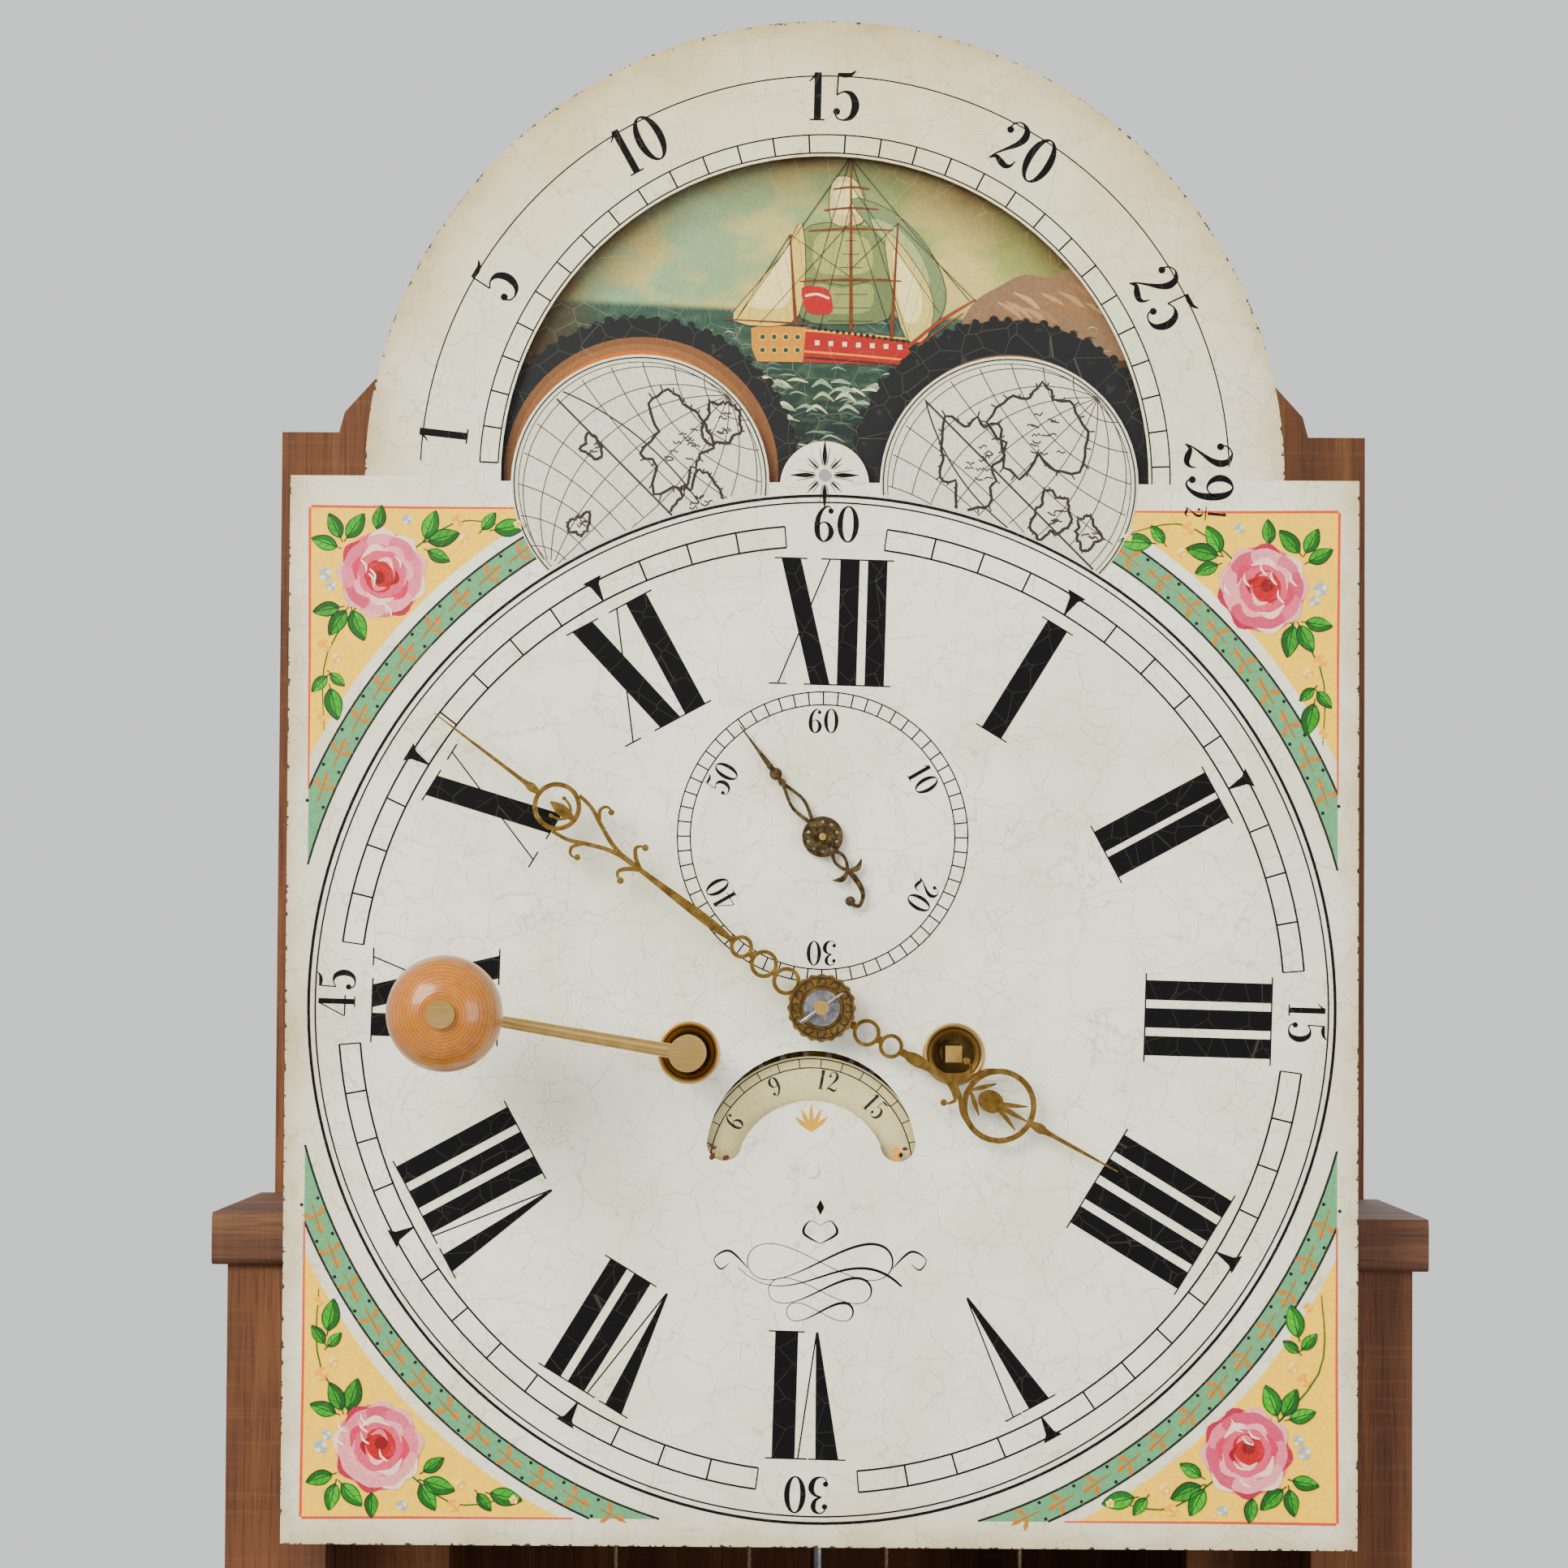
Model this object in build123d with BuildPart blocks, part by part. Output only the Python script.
from build123d import *

import os
from math import atan2, cos, degrees, hypot, radians, sin, sqrt

# Longcase clock with an eight-day striking movement, standing without its hood.
# Millimetres. X to the right, Y to the back, Z up. The origin is the centre of the
# plinth's flat underside. The dial faces -Y. Angles on the dial and in the movement
# are seen from the front, counter-clockwise from the right, unless named clockwise.

# ---------------------------------------------------------------- driving dimensions
# Case
case_depth = 235.0
plinth_width = 470.0
plinth_height = 500.0
skirting_height = 90.0
skirting_thickness = 12.0
waist_height = 40.0
trunk_width = 400.0
trunk_depth = 195.0
board = 18.0
bottom_board = 16.0
backboard_thickness = 14.0
shoulder_rise = 210.0
backboard_step = 23.0
backboard_step_rise = 7.5
backboard_arch_rise = 300.0
wall_screw_rise = 140.0
wall_screw_radius = 2.6
frame_stile = 82.0
frame_bottom_rail = 100.0
frame_top_rail = 120.0
moulding_height = 45.0
moulding_projection = 38.0
cheek_thickness = 34.0
cheek_height = 126.0
cheek_setback = 34.5
cheek_strip = 39.0
cheek_strip_setback = 35.0
seat_width = 410.0
seat_thickness = 17.6
seat_front_gap = 30.0
seam = 0.2

# Trunk door
door_lip = 8.0
door_lip_thickness = 14.0
door_gap = 2.0
door_tongue = 15.0
hinge_radius = 2.8
hinge_pin_radius = 1.2
hinge_half_length = 30.0
hinge_leaf = 1.5
hinge_inset = 120.0
lock_size = (34.0, 10.0, 60.0)
bolt_travel = 9.0
bolt_clearance = 0.4

# Dial
hand_height = 1640.0
dial_width = 355.6
dial_thickness = 2.0
dial_drop = 178.0
arch_rise = 176.0
arch_radius = 153.0
moon_window_radius = 107.8
hump_radius = 43.0
hump_offset = 61.4
hump_rise = 174.0
boss_radius = 14.8
boss_rise = 173.5
dial_to_backboard = 183.0
dial_standoff = 45.0
seconds_rise = 56.6
date_x = -3.2
date_drop = 53.6
date_disc_radius = 39.0
date_teeth = 31
date_window_outer = 34.8
date_window_inner = 25.5
date_window_outer_drop = 49.0
date_window_inner_drop = 56.3
date_window_floor = 45.0
moon_disc_radius = 113.5
moon_teeth = 118
disc_thickness = 1.2
disc_gap = 2.5
winding_x = 43.9
winding_drop = 15.1
grommet_flange = 10.3
grommet_outer = 8.4
grommet_inner = 6.9

# Movement
plate_half_width = 75.0
plate_top = 100.0
seat_drop = 70.4
plate_thickness = 3.0
plate_gap = 64.0
arbor_radius = 1.6
pivot_radius = 0.9
pivot_length = 2.6
running_clearance = 0.06
end_shake = 0.4
wheel_thickness = 1.6
pinion_length = 7.0
wheel_rim = 3.2
spoke_width = 3.0
barrel_radius = 25.0
barrel_flange = 29.0
barrel_length = 44.5
barrel_arbor_radius = 4.5
winding_square = 5.5
centre_arbor_radius = 2.4
cannon_radius = 4.2
hour_pipe_radius = 6.4
minute_arbor_angle = 250.0
stud_radius = 1.25

# Tooth counts and the modules of each meshing pair
great_teeth, centre_pinion = 96, 8
centre_teeth, third_pinion, centre_module = 60, 8, 0.9
third_teeth, escape_pinion, third_module = 56, 7, 0.85
escape_teeth, escape_radius = 30, 22.0
strike_teeth, pin_pinion, strike_module = 84, 8, 0.85
pin_teeth, gathering_pinion, pin_module = 64, 8, 0.7
gathering_teeth, warning_pinion, gathering_module = 56, 7, 0.6
warning_teeth, fly_pinion, warning_module = 48, 6, 0.55
cannon_teeth, motion_pinion, hour_teeth, hour_module = 36, 6, 72, 1.0
pin_wheel_angle = 81.4
gathering_angle = 106.1
warning_angle = 57.7
fly_angle = 129.8

# Hands
hand_thickness = 1.2
hour_hand_gap = 6.0
minute_hand_gap = 11.0
minute_hand_length = 161.0
minute_hand_clockwise = 306.9
hour_hand_length = 112.0
hour_hand_clockwise = 118.6
seconds_hand_length = 46.9
seconds_hand_clockwise = 323.0

# Pendulum, weights and lines
anchor_rise = 87.6
pendulum_length = 994.0
pendulum_gap = 20.0
rod_radius = 2.2
bob_radius = 55.0
bob_thickness = 28.0
pulley_groove = 22.0
pulley_radius = 25.0
pulley_width = 7.0
line_radius = 0.8
line_clearance = 0.3
pulley_drop = 390.0
weight_radius = 32.5
weight_height = 230.0
weight_gap = 36.0

# Winding crank
crank_radius = 6.0
crank_arm = 78.0
crank_arm_clockwise = 279.5
knob_radius = 18.5
knob_length = 46.0
knob_pin_radius = 3.0

# ---------------------------------------------------------------- places worked out
back_y = case_depth / 2
plinth_front = -case_depth / 2
board_front = back_y - backboard_thickness
trunk_front = back_y - trunk_depth
trunk_half = trunk_width / 2
plinth_half = plinth_width / 2
seat_top = hand_height - seat_drop
seat_bottom = seat_top - seat_thickness
trunk_top = seat_bottom - cheek_height
trunk_bottom = plinth_height - board
dial_front = board_front - dial_to_backboard
dial_back = dial_front + dial_thickness
front_plate_y = dial_front + dial_standoff
train_front = front_plate_y + plate_thickness
train_back = train_front + plate_gap
back_plate_y = train_back + plate_thickness
pendulum_y = back_plate_y + pendulum_gap
seat_front = dial_front + seat_front_gap
cheek_front = dial_front + cheek_setback
door_half = trunk_half - frame_stile
door_bottom = plinth_height + frame_bottom_rail
door_top = trunk_top - frame_top_rail
disc_front = dial_back + disc_gap
great_module = 2 * hypot(winding_x, winding_drop) / (great_teeth + centre_pinion)
motion_distance = hour_module * (hour_teeth + motion_pinion) / 2
cannon_module = motion_distance / cannon_teeth
barrel_back = train_back - 5.6
barrel_front = barrel_back - barrel_length
barrel_mid = (barrel_front + barrel_back) / 2
line_pitch = pulley_groove + line_radius + line_clearance
line_outer_x = winding_x + barrel_radius + line_radius + line_clearance
line_inner_x = line_outer_x - 2 * line_pitch
pulley_x = line_outer_x - line_pitch
pulley_z = seat_bottom - pulley_drop + 88.0
hour_hand_y = dial_front - hour_hand_gap
minute_hand_y = dial_front - minute_hand_gap

os.makedirs("parts", exist_ok=True)


# ---------------------------------------------------------------- helpers
def polar(distance, angle, start=(0.0, 0.0)):
    """Point at a distance and an angle in degrees from a start point."""
    return (start[0] + distance * cos(radians(angle)), start[1] + distance * sin(radians(angle)))


def facing(y, at=(0.0, 0.0), clockwise=0.0):
    """Plane that faces the front at depth y, centred at (x, z) from the hands' centre."""
    turn = radians(clockwise)
    origin = (at[0], y, hand_height + at[1])
    return Plane(origin=origin, x_dir=(cos(turn), 0, -sin(turn)), z_dir=(0, -1, 0))


def block(x, y, z, mode=Mode.ADD):
    """Box between two limits along each axis, inside the current part."""
    middle = ((x[0] + x[1]) / 2, (y[0] + y[1]) / 2, (z[0] + z[1]) / 2)
    with Locations(middle):
        Box(abs(x[1] - x[0]), abs(y[1] - y[0]), abs(z[1] - z[0]), mode=mode)


def rod(at, radius, front, back, mode=Mode.ADD):
    """Round bar along Y between two depths, inside the current part."""
    with BuildSketch(facing(back, at)) as section:
        Circle(radius)
    extrude(to_extrude=section.sketch, amount=back - front, mode=mode)


def bar(start, end, width, front, back):
    """Flat bar with round ends between two points of the movement, inside the part."""
    length = hypot(end[0] - start[0], end[1] - start[1])
    middle = ((start[0] + end[0]) / 2, (start[1] + end[1]) / 2)
    slope = degrees(atan2(end[1] - start[1], end[0] - start[0]))
    with BuildSketch(facing(back, middle, -slope)) as section:
        SlotCenterToCenter(length, width)
    extrude(to_extrude=section.sketch, amount=back - front)


def finish(part, label):
    """Name a finished piece and write it."""
    part.part.label = label
    export_step(part.part, f"parts/{label}.step")


def tooth_points(teeth, module, phase, pinion=False):
    """Straight-sided tooth outline, with backlash, and one tooth centred on phase."""
    addendum, root_share, tip_share = (0.5, 0.46, 0.18) if pinion else (0.75, 0.56, 0.16)
    pitch = module * teeth / 2
    tip, root = pitch + addendum * module, pitch - 1.25 * module
    half = 180.0 / teeth
    points = []
    for tooth in range(teeth):
        centre = phase + 360.0 * tooth / teeth
        for radius, offset in ((root, -root_share), (tip, -tip_share), (tip, tip_share), (root, root_share)):
            points.append(polar(radius, centre + offset * half))
    return points


def mesh_phase(driver_at, driver_teeth, driver_phase, driven_at, driven_teeth):
    """Phase that puts a gap of the driven gear opposite a tooth of its driver."""
    line = degrees(atan2(driven_at[1] - driver_at[1], driven_at[0] - driver_at[0]))
    share = (line - driver_phase) * driver_teeth / 360.0
    return line + 180.0 + (share - 0.5) * 360.0 / driven_teeth


def toothed_wheel(at, teeth, module, phase, front, hub, arms=4):
    """Crossed-out wheel, inside the current part."""
    crossing_outer = module * teeth / 2 - 1.25 * module - wheel_rim
    with BuildSketch(facing(front + wheel_thickness, at)) as section:
        Polygon(*tooth_points(teeth, module, phase), align=None)
        Circle(crossing_outer, mode=Mode.SUBTRACT)
        Circle(hub)
        with PolarLocations(0, arms, start_angle=phase):
            Rectangle(crossing_outer + 1, spoke_width, align=(Align.MIN, Align.CENTER))
    extrude(to_extrude=section.sketch, amount=wheel_thickness)


def toothed_disc(at, teeth, module, phase, front, thickness, pinion=False):
    """Solid toothed disc or pinion, inside the current part."""
    with BuildSketch(facing(front + thickness, at)) as section:
        Polygon(*tooth_points(teeth, module, phase, pinion), align=None)
    extrude(to_extrude=section.sketch, amount=thickness)


def pivoted_arbor(at, radius=arbor_radius):
    """Arbor between the plates, with a pivot into each plate, inside the current part."""
    rod(at, radius, train_front + end_shake, train_back - end_shake)
    rod(at, pivot_radius, train_front + end_shake - pivot_length, train_back - end_shake + pivot_length)


def back_offset(distance, thickness=wheel_thickness):
    """Front depth of a wheel that stands this far in front of the back plate."""
    return train_back - distance - thickness


# ---------------------------------------------------------------- places in the trains
centre_at = (0.0, 0.0)
great_at = (winding_x, -winding_drop)
strike_at = (-winding_x, -winding_drop)
escape_at = (0.0, seconds_rise)
anchor_at = (0.0, anchor_rise)

centre_reach = centre_module * (centre_teeth + third_pinion) / 2
third_reach = third_module * (third_teeth + escape_pinion) / 2
third_z = (seconds_rise**2 + centre_reach**2 - third_reach**2) / (2 * seconds_rise)
third_at = (sqrt(centre_reach**2 - third_z**2), third_z)

pin_at = polar(strike_module * (strike_teeth + pin_pinion) / 2, pin_wheel_angle, strike_at)
gathering_at = polar(pin_module * (pin_teeth + gathering_pinion) / 2, gathering_angle, pin_at)
warning_at = polar(gathering_module * (gathering_teeth + warning_pinion) / 2, warning_angle, gathering_at)
fly_at = polar(warning_module * (warning_teeth + fly_pinion) / 2, fly_angle, warning_at)
minute_at = polar(motion_distance, minute_arbor_angle)

centre_phase = mesh_phase(great_at, great_teeth, 0, centre_at, centre_pinion)
third_phase = mesh_phase(centre_at, centre_teeth, centre_phase, third_at, third_pinion)
escape_phase = mesh_phase(third_at, third_teeth, third_phase, escape_at, escape_pinion)
pin_phase = mesh_phase(strike_at, strike_teeth, 0, pin_at, pin_pinion)
gathering_phase = mesh_phase(pin_at, pin_teeth, pin_phase, gathering_at, gathering_pinion)
warning_phase = mesh_phase(gathering_at, gathering_teeth, gathering_phase, warning_at, warning_pinion)
fly_phase = mesh_phase(warning_at, warning_teeth, warning_phase, fly_at, fly_pinion)
minute_phase = mesh_phase(centre_at, cannon_teeth, 0, minute_at, cannon_teeth)
hour_phase = mesh_phase(minute_at, motion_pinion, minute_phase, centre_at, hour_teeth)

hammer_at = (-68.0, 35.0)
rack_at = (-62.0, 8.0)
rack_hook_at = (-14.0, 66.0)
lifting_at = (26.0, 30.0)
pillar_places = [(-60.0, -62.0), (60.0, -62.0), (-64.0, 88.0), (64.0, 88.0), (66.0, 34.0)]
dial_foot_places = [(-56.0, 58.0), (56.0, 58.0), (-56.0, -44.0), (56.0, -44.0)]

cannon_wheel_y = front_plate_y - 7.1
hour_wheel_y = cannon_wheel_y - 5.0
snail_y = hour_wheel_y - 3.4
rack_y = front_plate_y - 6.0
lifting_y = front_plate_y - 3.5

# ---------------------------------------------------------------- case
with BuildPart() as plinth_panels:
    side_inner = plinth_half - board
    block((-plinth_half, plinth_half), (plinth_front, plinth_front + board), (0, plinth_height))
    for side in (-1, 1):
        block(
            (side * side_inner, side * plinth_half),
            (plinth_front + board + seam, back_y),
            (0, plinth_height),
        )
        block(
            (side * (trunk_half + seam), side * (side_inner - seam)),
            (board_front, back_y),
            (0, plinth_height),
        )
    block(
        (-side_inner + seam, side_inner - seam),
        (plinth_front + board + seam, board_front - seam),
        (0, bottom_board),
    )
    front_edges = plinth_panels.edges().filter_by(Axis.Z).group_by(Axis.Y)[0]
    fillet(front_edges, radius=1.5)
finish(plinth_panels, "plinth_panels")


def mitred_moulding(label, profile, half_width, front, base):
    """Moulding round the front and sides, in three lengths mitred at the corners."""
    with BuildPart() as moulding:
        with BuildLine() as run:
            Polyline(
                (half_width, back_y, base),
                (half_width, front, base),
                (-half_width, front, base),
                (-half_width, back_y, base),
            )
        with BuildSketch(Plane(origin=(half_width, back_y, base), x_dir=(1, 0, 0), z_dir=(0, -1, 0))):
            with BuildLine():
                Polyline(*profile, close=True)
            make_face()
        sweep(path=run.line, transition=Transition.RIGHT)
        reach = 3 * max(x for x, z in profile) + half_width
        tall = 3 * max(z for x, z in profile)
        with Locations(
            Location((half_width, front, base), (0, 0, -45)), Location((-half_width, front, base), (0, 0, 45))
        ):
            Box(reach, seam, tall, mode=Mode.SUBTRACT)
    finish(moulding, label)
    return moulding


def arc_profile(centre, radius, first, last, steps=6):
    """Points on an arc of a moulding's section."""
    return [polar(radius, first + (last - first) * step / steps, centre) for step in range(steps + 1)]


skirting_profile = [(0, 0), (skirting_thickness, 0)]
skirting_profile += arc_profile((skirting_thickness - 8, skirting_height - 18), 8, 0, 90)
skirting_profile += [(2, skirting_height - 10), (2, skirting_height), (0, skirting_height)]
plinth_skirting = mitred_moulding(
    "plinth_skirting", skirting_profile, plinth_half + seam, plinth_front - seam, 0
)

waist_out = plinth_half - trunk_half
waist_profile = [(0, 0), (waist_out + 4, 0), (waist_out + 4, 6), (waist_out, 6), (waist_out, 9)]
waist_profile += arc_profile((waist_out, waist_height - 3), waist_height - 12 - 3, 270, 180)
waist_profile += [(4, waist_height - 3), (4, waist_height), (0, waist_height)]
waist_front = trunk_front - seam
waist_moulding = mitred_moulding(
    "waist_moulding", waist_profile, trunk_half + seam, waist_front, plinth_height
)

hood_profile = [(0, 0), (5, 0), (5, 5)]
hood_profile += arc_profile((moulding_projection - 4, 7), moulding_projection - 11, 180, 90)
hood_profile += [(moulding_projection, moulding_height - 9), (moulding_projection, moulding_height)]
hood_profile += [(0, moulding_height)]
hood_moulding = mitred_moulding(
    "hood_moulding", hood_profile, trunk_half + seam, trunk_front - seam, trunk_top - moulding_height
)

with BuildPart() as trunk_sides:
    for side in (-1, 1):
        block(
            (side * (trunk_half - board), side * trunk_half),
            (trunk_front + board + seam, back_y - backboard_thickness - seam),
            (trunk_bottom, trunk_top),
        )
finish(trunk_sides, "trunk_sides")

with BuildPart() as trunk_front_frame:
    for side in (-1, 1):
        block(
            (side * door_half, side * trunk_half),
            (trunk_front, trunk_front + board), (trunk_bottom, trunk_top)
        )
    for low, high in ((trunk_bottom, door_bottom), (door_top, trunk_top)):
        block((-door_half + seam, door_half - seam), (trunk_front, trunk_front + board), (low, high))
finish(trunk_front_frame, "trunk_front_frame")

# Lipped door: the tongue fills the opening and the lip laps over the frame in front
hinge_at = (door_half + door_lip + hinge_radius + 2.0, trunk_front - hinge_radius - 0.7)
door_back = trunk_front - 0.4
door_front = door_back - door_lip_thickness
with BuildPart() as trunk_door:
    lip_x = door_half + door_lip
    block((-lip_x, lip_x), (door_front, door_back), (door_bottom - door_lip, door_top + door_lip))
    tongue_x = door_half - door_gap
    front_face = trunk_door.faces().sort_by(Axis.Y)[0]
    fillet(front_face.edges(), radius=5.0)
    block(
        (-tongue_x, tongue_x),
        (door_back, door_back + door_tongue),
        (door_bottom + door_gap, door_top - door_gap),
    )
    escutcheon_x = -(door_half - 20.0)
    lock_z = (door_bottom + door_top) / 2
    with Locations(Location((escutcheon_x, door_front, lock_z), (90, 0, 0))):
        Cylinder(3.0, 4 * door_lip_thickness, mode=Mode.SUBTRACT)
finish(trunk_door, "trunk_door")

hinge_heights = (door_bottom + hinge_inset, door_top - hinge_inset)
knuckle = 2 * hinge_half_length / 3
with BuildPart() as hinge_frame_leaves:
    for height in hinge_heights:
        low, high = height - hinge_half_length, height + hinge_half_length
        leaf_front = trunk_front - hinge_leaf
        block((hinge_at[0], hinge_at[0] + 20), (leaf_front, trunk_front - 0.05), (low, high))
        block(
            (door_half + door_lip, hinge_at[0] + hinge_radius + 0.4),
            (leaf_front - 6, trunk_front),
            (low + knuckle - 0.4, high - knuckle + 0.4),
            mode=Mode.SUBTRACT,
        )
        with BuildSketch(Plane.XY.offset(low)):
            with Locations(hinge_at):
                Circle(hinge_radius)
        extrude(amount=knuckle - 0.2)
        with BuildSketch(Plane.XY.offset(high - knuckle + 0.2)):
            with Locations(hinge_at):
                Circle(hinge_radius)
        extrude(amount=knuckle - 0.2)
        block(
            (hinge_at[0] - 0.5, hinge_at[0] + hinge_radius + 6),
            (leaf_front - 1, trunk_front - 0.05),
            (low, low + knuckle - 0.2),
        )
        block(
            (hinge_at[0] - 0.5, hinge_at[0] + hinge_radius + 6),
            (leaf_front - 1, trunk_front - 0.05),
            (high - knuckle + 0.2, high),
        )
        with BuildSketch(Plane.XY.offset(low)):
            with Locations(hinge_at):
                Circle(hinge_pin_radius)
        extrude(amount=high - low)
finish(hinge_frame_leaves, "hinge_frame_leaves")

with BuildPart() as hinge_door_leaves:
    for height in hinge_heights:
        half = knuckle / 2 - 0.3
        with BuildSketch(Plane.XY.offset(height - half)):
            with Locations(hinge_at):
                Circle(hinge_radius)
        extrude(amount=2 * half)
        block(
            (door_half + door_lip + 0.05, door_half + door_lip + hinge_leaf),
            (hinge_at[1] - 9, hinge_at[1] + 1.0),
            (height - half, height + half),
        )
        block(
            (door_half + door_lip + 0.05, hinge_at[0]),
            (hinge_at[1] - 1.0, hinge_at[1] + 1.0),
            (height - half, height + half),
        )
        with BuildSketch(Plane.XY.offset(height - half)):
            with Locations(hinge_at):
                Circle(hinge_pin_radius + running_clearance)
        extrude(amount=2 * half, mode=Mode.SUBTRACT)
finish(hinge_door_leaves, "hinge_door_leaves")

# Box lock inside the door, with a bolt that slides behind the stile
lock_front = door_back + door_tongue + 0.05
lock_left = -(door_half - door_gap) + 3.0
bolt_half = (2.5, 4.0)
bolt_play = 0.2
bolt_grip = 12.0
bolt_y = trunk_front + board + bolt_half[0] + bolt_clearance
with BuildPart() as door_lock:
    block(
        (lock_left, lock_left + lock_size[0]),
        (lock_front, lock_front + lock_size[1]),
        (lock_z - lock_size[2] / 2, lock_z + lock_size[2] / 2),
    )
    block(
        (lock_left - 1.0, lock_left + bolt_travel + bolt_grip + 3.0),
        (bolt_y - bolt_half[0] - bolt_play, bolt_y + bolt_half[0] + bolt_play),
        (lock_z - bolt_half[1] - bolt_play, lock_z + bolt_half[1] + bolt_play),
        mode=Mode.SUBTRACT,
    )
finish(door_lock, "door_lock")

with BuildPart() as lock_bolt:
    block(
        (lock_left - 1.0, lock_left + bolt_travel + bolt_grip),
        (bolt_y - bolt_half[0], bolt_y + bolt_half[0]),
        (lock_z - bolt_half[1], lock_z + bolt_half[1]),
    )
finish(lock_bolt, "lock_bolt")

with BuildPart() as escutcheon:
    plate_y = door_front - 0.05
    with BuildSketch(Plane(origin=(escutcheon_x, plate_y, lock_z), x_dir=(1, 0, 0), z_dir=(0, -1, 0))):
        Ellipse(9, 15)
        Circle(3.0, mode=Mode.SUBTRACT)
        with Locations((0, -6)):
            Rectangle(2.4, 8, mode=Mode.SUBTRACT)
    extrude(amount=1.0)
finish(escutcheon, "escutcheon")

with BuildPart() as backboard:
    shoulder_z = hand_height + shoulder_rise
    step_z = shoulder_z + backboard_step_rise
    arch_top = hand_height + backboard_arch_rise
    step_x = trunk_half - backboard_step
    with BuildSketch(Plane(origin=(0, back_y, 0), x_dir=(1, 0, 0), z_dir=(0, -1, 0))):
        with BuildLine():
            Polyline((-step_x, step_z), (-step_x - 2, shoulder_z), (-trunk_half, shoulder_z), (-trunk_half, 0))
            Line((-trunk_half, 0), (trunk_half, 0))
            Polyline((trunk_half, 0), (trunk_half, shoulder_z), (step_x + 2, shoulder_z), (step_x, step_z))
            ThreePointArc((step_x, step_z), (0, arch_top), (-step_x, step_z))
        make_face()
    extrude(amount=backboard_thickness)
    with Locations(Location((0, board_front, hand_height + wall_screw_rise), (90, 0, 0))):
        CounterSinkHole(wall_screw_radius, 2 * wall_screw_radius, depth=backboard_thickness)
finish(backboard, "backboard")

with BuildPart() as cheeks:
    for side in (-1, 1):
        block(
            (side * (trunk_half - cheek_thickness), side * trunk_half),
            (cheek_front, board_front - seam),
            (trunk_top + seam, seat_bottom),
        )
        inner = trunk_half - cheek_thickness - seam
        strip_front = cheek_front + cheek_strip_setback
        block(
            (side * (inner - cheek_strip), side * inner),
            (strip_front, strip_front + board),
            (trunk_top - 40, seat_bottom),
        )
finish(cheeks, "cheeks")

with BuildPart() as seatboard:
    half_seat = seat_width / 2
    block((-half_seat, half_seat), (seat_front, board_front - seam), (seat_bottom, seat_top))
    seat_front_edges = seatboard.edges().filter_by(Axis.X).group_by(Axis.Y)[0]
    fillet(seat_front_edges, radius=3.0)
    notch_front = back_plate_y + 2.0
    block((-30, 30), (notch_front, back_y), (seat_bottom - 1, seat_top + 1), mode=Mode.SUBTRACT)
    for side in (-1, 1):
        block(
            (side * (line_outer_x - 8), side * (line_outer_x + 8)),
            (barrel_front + 2, barrel_back),
            (seat_bottom - 1, seat_top + 1),
            mode=Mode.SUBTRACT,
        )
        with Locations((side * line_inner_x, barrel_mid, seat_bottom)):
            Cylinder(3.0, 3 * seat_thickness, mode=Mode.SUBTRACT)
        with Locations((side * pillar_places[1][0], barrel_front, seat_bottom)):
            Cylinder(2.8, 3 * seat_thickness, mode=Mode.SUBTRACT)
finish(seatboard, "seatboard")

with BuildPart() as seatboard_bolts:
    for side in (-1, 1):
        bolt_x = side * pillar_places[1][0]
        with BuildSketch(Plane.XY.offset(seat_bottom - 2.0)):
            with Locations((bolt_x, barrel_front)):
                Circle(2.5)
        extrude(amount=hand_height + pillar_places[1][1] - seat_bottom + 2.0)
        with BuildSketch(Plane.XY.offset(seat_bottom - 6.0)):
            with Locations((bolt_x, barrel_front)):
                RegularPolygon(6.5, 4)
        extrude(amount=5.0)
        with BuildSketch(Plane.XY.offset(seat_bottom - 1.0)):
            with Locations((bolt_x, barrel_front)):
                Circle(9.0)
        extrude(amount=0.95)
finish(seatboard_bolts, "seatboard_bolts")

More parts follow.
